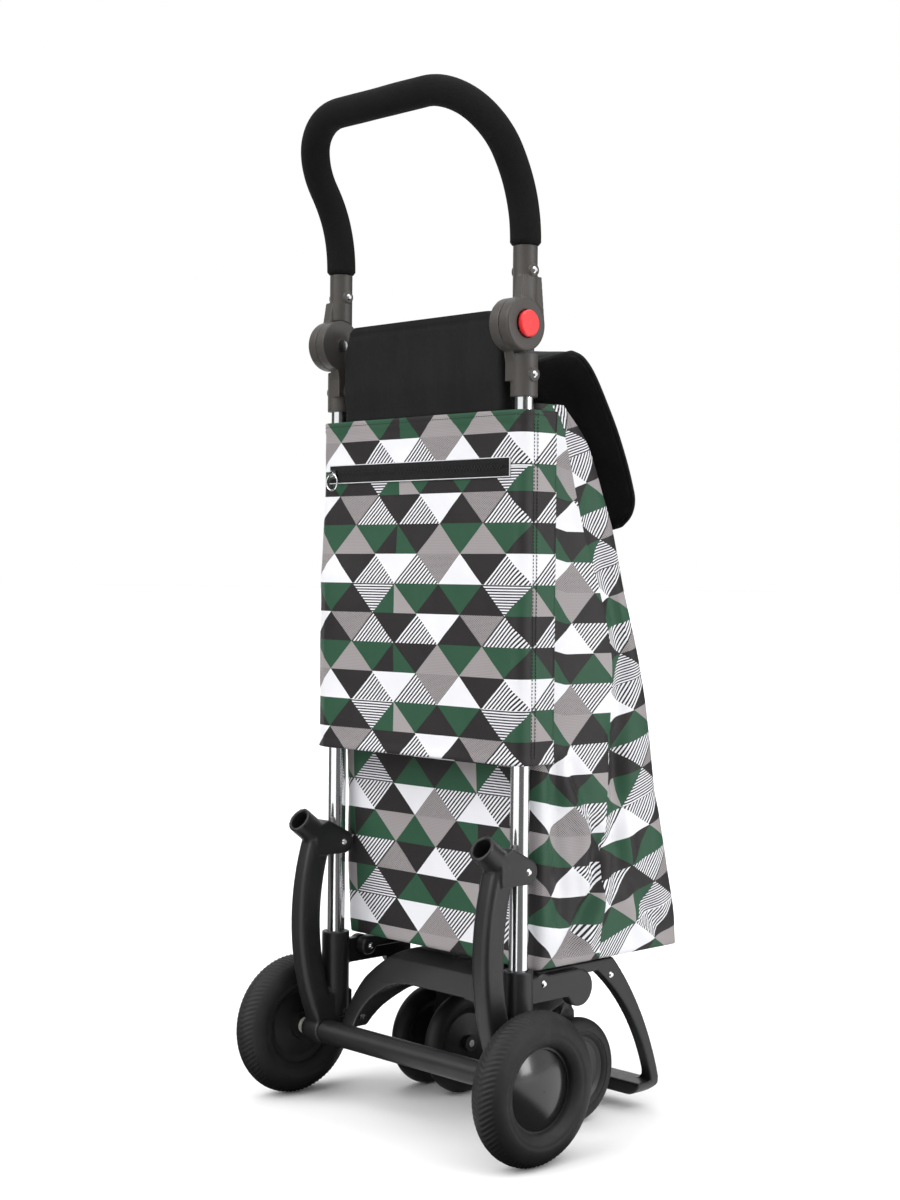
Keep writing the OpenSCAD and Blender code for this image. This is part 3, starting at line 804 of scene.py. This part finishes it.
def pocket_bulge(x, z):
    """How far the pocket stands out behind its plain plane."""
    below = min(1.0, max(0.0, (676 - z) / 90))
    left = min(1.0, max(0.0, (30 - x) / 150))
    edge = math.cos(math.pi / 2 * min(1.0, abs(x) / 165)) ** 0.6
    out = below * (10 * left ** 1.1 * min(1.0, (165 + x) / 30) + 2.5 * edge)
    calm = min(1.0, max(0.0, (abs(z - ZIP_Z) - 11) / 16))
    wave = 1.5 * noise.noise(Vector((x / 48, 3.1, z / 80)))
    wave += 0.5 * noise.noise(Vector((x / 17, 8.2, z / 26)))
    return out + wave * calm


def pocket_point(run, z, lift=0.0):
    """A point of the pocket's cloth. run is the distance round from the middle of the back."""
    corner = POCKET_CORNER
    flat = POCKET_X - corner
    turn_length = corner * math.pi / 2
    side = 1 if run >= 0 else -1
    run = abs(run)
    if run <= flat:
        x, y, nx, ny = run, POCKET_Y, 0.0, -1.0
    elif run <= flat + turn_length:
        turn = (run - flat) / corner
        x, y = flat + corner * math.sin(turn), POCKET_Y + corner * (1 - math.cos(turn))
        nx, ny = math.sin(turn), -math.cos(turn)
    else:
        x, y, nx, ny = POCKET_X, POCKET_Y + corner + run - flat - turn_length, 1.0, 0.0
    out = lift
    if ny < 0:
        out += pocket_bulge(side * x, z) * (-ny)
    return (side * (x + nx * out), y + ny * out, z)


POCKET_RUN = POCKET_X + POCKET_WING - POCKET_Y + POCKET_CORNER * (math.pi / 2 - 2)


def make_pocket():
    """Printed panel over both tubes, with hems, seams and a belly."""
    count = 128
    runs = [POCKET_RUN * (2 * i / count - 1) for i in range(count + 1)]
    levels = [POCKET_HIGH, POCKET_HIGH - 0.8] + list(np.arange(POCKET_HIGH - 3, POCKET_LOW + 2, -3.2))
    levels += [POCKET_LOW + 0.8, POCKET_LOW]

    def hem(z, run):
        """Folded edges and the dents of their stitches."""
        top = 0.8 if z > POCKET_HIGH - 11 else 0.0
        low = 0.7 if z < POCKET_LOW + 9 else 0.0
        dent = 0.7 * math.exp(-((z - POCKET_HIGH + 5) / 1.6) ** 2)
        side = 0.9 * math.exp(-((abs(run) - POCKET_RUN + 30) / 2.5) ** 2)
        rim = 0.8 if z in (POCKET_HIGH, POCKET_LOW) else 0.0
        return top + low - dent - side - rim

    rows = [[pocket_point(run, z, hem(z, run)) for run in runs] for z in levels]
    piece = grid("pocket_cloth", rows, outside=(0, -1, 0))
    flat = [(run, z) for z in levels for run in runs]

    def place(face):
        corners = []
        middle = sum(flat[v][1] for v in face.vertices) / len(face.vertices)
        for v in face.vertices:
            run, z = flat[v]
            if middle > ZIP_Z:
                height = -2 + (702.5 - z) / ROW
            else:
                height = 1 + (611 - z) / ROW
            corners.append(((run + 124) / HALF_BASE, height))
        return corners

    print_on(piece, place)
    solidify(piece, 1.8)
    dress(piece, "frame", PRINTED)
    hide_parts("pocket_panel")
    return piece


def stitches(name, lines, size=(2.3, 0.55), gap=3.6):
    """Rows of short threads. Each line is a function of distance, with its length."""
    points, faces = [], []
    for line, length in lines:
        for k in range(int(length / gap)):
            start, stop = Vector(line(k * gap)), Vector(line(k * gap + size[0]))
            along = (stop - start).normalized()
            side = along.cross(Vector((0.31, 0.87, 0.37))).normalized()
            up = along.cross(side)
            first = len(points)
            for share, radius in ((0.0, 0.3), (0.2, 0.9), (0.8, 0.9), (1.0, 0.3)):
                middle = start.lerp(stop, share)
                for n in range(6):
                    angle = math.pi / 3 * n
                    offset = side * math.cos(angle) + up * math.sin(angle)
                    points.append(tuple(middle + offset * radius * size[1]))
            for ring in range(3):
                for n in range(6):
                    a, b = first + ring * 6 + n, first + ring * 6 + (n + 1) % 6
                    faces.append((a, b, b + 6, a + 6))
            faces.append(tuple(first + n for n in range(6))[::-1])
            faces.append(tuple(first + 18 + n for n in range(6)))
    piece = mesh_object(name, points, faces)
    return dress(piece, "frame", THREAD)


def make_pocket_stitching():
    """The hem's single row and the side seams' double rows."""
    def along_top(s):
        return pocket_point(s - POCKET_RUN + 4, POCKET_HIGH - 5, 0.4)

    def down_side(run):
        return lambda s: pocket_point(run, POCKET_HIGH - 3 - s, 0.1)

    tall = POCKET_HIGH - POCKET_LOW - 6
    lines = [(along_top, 2 * POCKET_RUN - 8)]
    for side in (-1, 1):
        for inset in (28, 33):
            lines.append((down_side(side * (POCKET_RUN - inset)), tall))
    return stitches("pocket_stitching", lines)


# --------------------------------------------------------------------- zip

ZIP_HALF = 140


def plate(name, x1, y1, z1, x2, y2, z2, bevel=0.3):
    """A small box with rounded edges."""
    piece = mesh_object(name, [(x, y, z) for x in (x1, x2) for y in (y1, y2) for z in (z1, z2)],
                        [(0, 1, 3, 2), (4, 6, 7, 5), (0, 4, 5, 1), (2, 3, 7, 6), (0, 2, 6, 4),
                         (1, 5, 7, 3)])
    modifier(piece, "BEVEL", width=bevel * MM, segments=2)
    return piece


def join(name, pieces):
    """One object from several, modifiers applied."""
    for piece in pieces:
        bake_modifiers(piece)
    with bpy.context.temp_override(active_object=pieces[0], selected_editable_objects=pieces):
        bpy.ops.object.join()
    pieces[0].name = name
    return pieces[0]


def make_zip():
    """Zip tape with a raised edge on both sides of two rows of teeth, framed by a pale edging."""
    face = ZIP_Y
    strips = [plate("tape", -ZIP_HALF, face, ZIP_Z + sign * 5.2 - 4.2, ZIP_HALF, face + 1.2,
                    ZIP_Z + sign * 5.2 + 4.2) for sign in (-1, 1)]
    strips.append(plate("tape", -ZIP_HALF, face + 0.4, ZIP_Z - 1.6, ZIP_HALF, face + 1.2, ZIP_Z + 1.6))
    tape = dress(join("zip_tape_cloth", strips), "frame", TAPE)
    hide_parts("zip_tape")
    teeth = []
    for k in range(int(2 * (ZIP_HALF - 7) / 2.4)):
        x = -ZIP_HALF + 7 + 2.4 * k
        sign = 1 if k % 2 else -1
        teeth.append(plate("tooth", x, face - 0.7, ZIP_Z + sign * 0.9 - 1.3, x + 1.5, face + 0.8,
                           ZIP_Z + sign * 0.9 + 1.3, 0.25))
    chain = dress(join("zip_teeth", teeth), "frame", THREAD)
    edges = []
    for z in (ZIP_Z - 9.8, ZIP_Z + 9.8):
        edges.append(plate("edge", -ZIP_HALF - 1, face - 0.3, z - 0.45, ZIP_HALF + 1, face + 1.4, z + 0.45))
    edges.append(plate("edge", ZIP_HALF + 0.2, face - 0.3, ZIP_Z - 9.8, ZIP_HALF + 1.1, face + 1.4,
                       ZIP_Z + 9.8))
    edging = dress(join("zip_edging", edges), "frame", EDGING)
    return [tape, chain, edging]


# -------------------------------------------------------------- back panel

PANEL_TOP = 860
PANEL_LOW = 700


def make_back_panel():
    """Black panel between the tubes, with turned-in sides and a folded top edge."""
    rows = []
    for z in list(np.linspace(PANEL_TOP, PANEL_TOP - 6, 7)) + list(np.linspace(852, PANEL_LOW, 48)):
        fall = PANEL_TOP - z
        half = 114 + 9 * min(1.0, fall / 30) - 6 * (1 - min(1.0, fall / 7)) ** 2
        row = []
        for i in range(97):
            share = 2 * i / 96 - 1
            x = share * (half + 14)
            y = -14.5 + 1.2 * math.exp(-((fall - 9) / 1.6) ** 2)
            wave = 1.5 * noise.noise(Vector((x / 24, 1.7, z / 150)))
            wave += 1.2 * noise.noise(Vector((x / 70, 5.7, z / 60)))
            over = abs(x) - (half - 7)
            if over > 0:
                turn = min(over / 8, math.pi / 2)
                y += 8 * (1 - math.cos(turn)) + max(0.0, over - 8 * math.pi / 2)
                x = math.copysign(half - 7 + 8 * math.sin(turn), x)
                wave *= math.cos(turn)
            tucked = 3.0 * min(1.0, max(0.0, (790 - z) / 25))
            calm = 1 - 0.8 * min(1.0, max(0.0, (800 - z) / 35))
            row.append((x, y + tucked + wave * calm * min(1.0, fall / 14), z))
        rows.append(row)
    piece = grid("back_panel_cloth", rows, outside=(0, -1, 0))
    solidify(piece, 1.8)
    dress(piece, "frame", CANVAS)
    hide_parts("back_panel")


# --------------------------------------------------------------------- lid

LID_LINE = [(2, 812), (10, 820), (24, 825), (50, 826), (78, 825), (97, 818), (117, 797),
            (143, 756), (165, 714), (180, 673), (189, 641)]
LID_STEPS = 84
LID_LENGTH = 330
LID_CORNER = 46


def spline(points, count):
    """Evenly spaced points on a smooth curve through the given ones."""
    points = np.array(points, float)
    padded = np.vstack([2 * points[0] - points[1], points, 2 * points[-1] - points[-2]])
    fine = []
    for i in range(len(points) - 1):
        p = padded[i:i + 4]
        for t in np.linspace(0, 1, 24, endpoint=False):
            fine.append(0.5 * (2 * p[1] + (p[2] - p[0]) * t + (2 * p[0] - 5 * p[1] + 4 * p[2] - p[3])
                               * t * t + (3 * p[1] - p[0] - 3 * p[2] + p[3]) * t ** 3))
    fine = np.array(fine + [points[-1]])
    along = np.concatenate([[0], np.cumsum(np.linalg.norm(np.diff(fine, axis=0), axis=1))])
    even = np.linspace(0, along[-1], count)
    return np.stack([np.interp(even, along, fine[:, k]) for k in range(fine.shape[1])], 1)


def lid_point(line, n, share):
    """A point of the lid: n steps along it, and a share of its half width from -1 to 1."""
    y, z = line[n]
    ahead, behind = line[min(n + 1, LID_STEPS - 1)], line[max(n - 1, 0)]
    along = (ahead - behind) / np.linalg.norm(ahead - behind)
    out_y, out_z = -along[1], along[0]
    from_end = (LID_STEPS - 1 - n) / (LID_STEPS - 1) * LID_LENGTH
    half = 123 + 17 * min(1.0, max(0.0, (y - 34) / 36))
    if from_end < LID_CORNER:
        half -= LID_CORNER - math.sqrt(max(0.0, LID_CORNER ** 2 - (LID_CORNER - from_end) ** 2))
    spread = math.sin(abs(share) * math.pi / 2 * 0.86) / math.sin(math.pi / 2 * 0.86)
    x = math.copysign(half * spread, share)
    flank = max(0.0, abs(share) - 0.62) / 0.38
    droop = 24 * flank * max(0.0, 1 - y / 74)
    wave = 1.4 * noise.noise(Vector((x / 60, y / 50, z / 60 + 4)))
    hem = 0.9 * math.exp(-(((1 - abs(share)) * half - 9) / 2.2) ** 2)
    hem += 0.9 * math.exp(-((from_end - 9) / 2.2) ** 2)
    push = wave - 3.0 * abs(share) ** 3 - hem
    return (x, y + out_y * push, z + out_z * push - droop)


def make_lid():
    """Black lid that runs over the mouth and hangs down in front of it, with piping all round."""
    line = spline(LID_LINE, LID_STEPS)
    shares = [2 * i / 72 - 1 for i in range(73)]
    rows = [[lid_point(line, n, share) for share in shares] for n in range(LID_STEPS)]
    piece = grid("lid_cloth", rows, outside=(0, 0, 1))
    solidify(piece, 1.8)
    modifier(piece, "SUBSURF", levels=1, render_levels=1)
    dress(piece, "lid", CANVAS)
    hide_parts("lid_flap")
    edge = [rows[n][0] for n in range(LID_STEPS)] + rows[-1][1:-1]
    edge += [rows[n][-1] for n in reversed(range(LID_STEPS))]
    edge = spline(edge, 420)
    ring = [(1.7 * math.cos(k * math.pi / 5), 1.7 * math.sin(k * math.pi / 5)) for k in range(10)]
    piping = sweep("lid_piping", [tuple(point) for point in edge], [ring] * len(edge))
    weld(piping)
    dress(piping, "lid", TAPE)


# ------------------------------------------------------------------- stage

def make_world():
    """A studio that is white behind the trolley, with wide soft boxes and darker gaps between
    them for its gloss."""
    world = bpy.data.worlds.new("studio")
    world.use_nodes = True
    tree = world.node_tree

    def add(kind, values=None, **settings):
        node = tree.nodes.new(kind)
        for key, value in settings.items():
            setattr(node, key, value)
        for key, value in (values or {}).items():
            if isinstance(value, bpy.types.NodeSocket):
                tree.links.new(value, node.inputs[key])
            else:
                node.inputs[key].default_value = value
        return node

    direction = add("ShaderNodeTexCoord").outputs["Generated"]
    split = add("ShaderNodeSeparateXYZ", {"Vector": direction}).outputs
    angle = add("ShaderNodeMath", {0: split["Y"], 1: split["X"]}, operation="ARCTAN2").outputs[0]
    waves = add("ShaderNodeMath", {0: angle, 1: 3.0}, operation="MULTIPLY").outputs[0]
    boxes = add("ShaderNodeMath", {0: waves}, operation="SINE").outputs[0]
    level = add("ShaderNodeMapRange", {"Value": boxes, "From Min": -0.30, "From Max": 0.05,
                                       "To Min": 0.07, "To Max": 0.95}).outputs[0]
    seen = add("ShaderNodeLightPath").outputs["Is Camera Ray"]
    strength = add("ShaderNodeMix", {0: seen, 2: level, 3: 1.0}, data_type="FLOAT").outputs[0]
    background = tree.nodes["Background"]
    background.inputs["Color"].default_value = (1, 1, 1, 1)
    tree.links.new(strength, background.inputs["Strength"])
    bpy.context.scene.world = world


def make_stage():
    """A floor that looks pale to the camera but carries a painted reflection of soft boxes, bright and dark
    bands round the trolley, for gloss and bounce; soft studio lights and the camera.
    """
    bpy.ops.mesh.primitive_plane_add(size=120, location=(0, 0, 0))
    floor = bpy.context.object
    floor.name = "floor"
    paint = Paint("floor_painted_softbox_bands", (0.93, 0.93, 0.93), Specular_IOR_Level=0.0, Roughness=0.9)
    # Painted light: for every ray but the camera's, the floor's colour runs in dark and bright bands by
    # direction round the trolley, standing in for soft boxes and the gaps between them in gloss and bounce.
    seen = paint.add("ShaderNodeLightPath").outputs["Is Camera Ray"]
    split = paint.add("ShaderNodeSeparateXYZ", {"Vector": paint.place}).outputs
    angle = paint.math("ARCTAN2", split["Y"], split["X"])
    boxes = paint.math("SINE", paint.math("MULTIPLY", angle, 3.0))
    level = paint.span(boxes, 0.08, 0.85, -0.30, 0.05)
    paint_all(floor, paint.finish(paint.mix(seen, paint.mix(level, (0, 0, 0), (1, 1, 1)),
                                            (0.96, 0.96, 0.96))))
    make_world()
    scene = bpy.context.scene
    for name, place, spread, power in (("key", (-0.35, -0.8, 0.75), 50, 1.9),
                                       ("side", (1.0, -0.25, 0.8), 60, 0.8),
                                       ("top", (0.1, 0.2, 1.0), 80, 1.6)):
        light = bpy.data.lights.new(name, "SUN")
        light.angle = math.radians(spread)
        light.energy = power
        lamp = bpy.data.objects.new(name, light)
        lamp.rotation_mode = "QUATERNION"
        lamp.rotation_quaternion = (-Vector(place)).to_track_quat("-Z", "Y")
        scene.collection.objects.link(lamp)
    box = bpy.data.lights.new("soft_box", "AREA")
    box.shape = "RECTANGLE"
    box.size = 0.7
    box.size_y = 1.5
    box.energy = 26
    lamp = bpy.data.objects.new("soft_box", box)
    lamp.location = (3.0, 1.0, 1.0)
    lamp.rotation_mode = "QUATERNION"
    lamp.rotation_quaternion = (Vector((0, 0, 0.3)) - lamp.location).to_track_quat("-Z", "Y")
    scene.collection.objects.link(lamp)
    scene.view_settings.view_transform = "Standard"


def make_camera():
    """The photographer's place: behind the trolley, to its right, at about its middle height."""
    azimuth, pitch, roll = math.radians(46.194), math.radians(-0.850), math.radians(0.544)
    forward = Vector((-math.sin(azimuth) * math.cos(pitch), math.cos(azimuth) * math.cos(pitch),
                      math.sin(pitch)))
    right = Vector((math.cos(azimuth), math.sin(azimuth), 0))
    up = right.cross(forward)
    tilted_right = math.cos(roll) * right + math.sin(roll) * up
    tilted_up = -math.sin(roll) * right + math.cos(roll) * up
    camera = bpy.data.objects.new("camera", bpy.data.cameras.new("camera"))
    camera.data.lens = 57.36
    camera.matrix_world = Matrix((
        (tilted_right.x, tilted_up.x, -forward.x, 1.49684),
        (tilted_right.y, tilted_up.y, -forward.y, -1.474179),
        (tilted_right.z, tilted_up.z, -forward.z, 0.592334),
        (0, 0, 0, 1)))
    camera.data.clip_end = 60
    bpy.context.scene.collection.objects.link(camera)
    bpy.context.scene.camera = camera


make_camera()
make_stage()
finish_cad_nodes()
make_mouldings()
for side_name, side_sign in (("left", -1), ("right", 1)):
    make_tyre(side_name, side_sign)
make_grip()
make_bag()
pocket = make_pocket()
trim = [make_pocket_stitching(), *make_zip()]
make_back_panel()
make_lid()
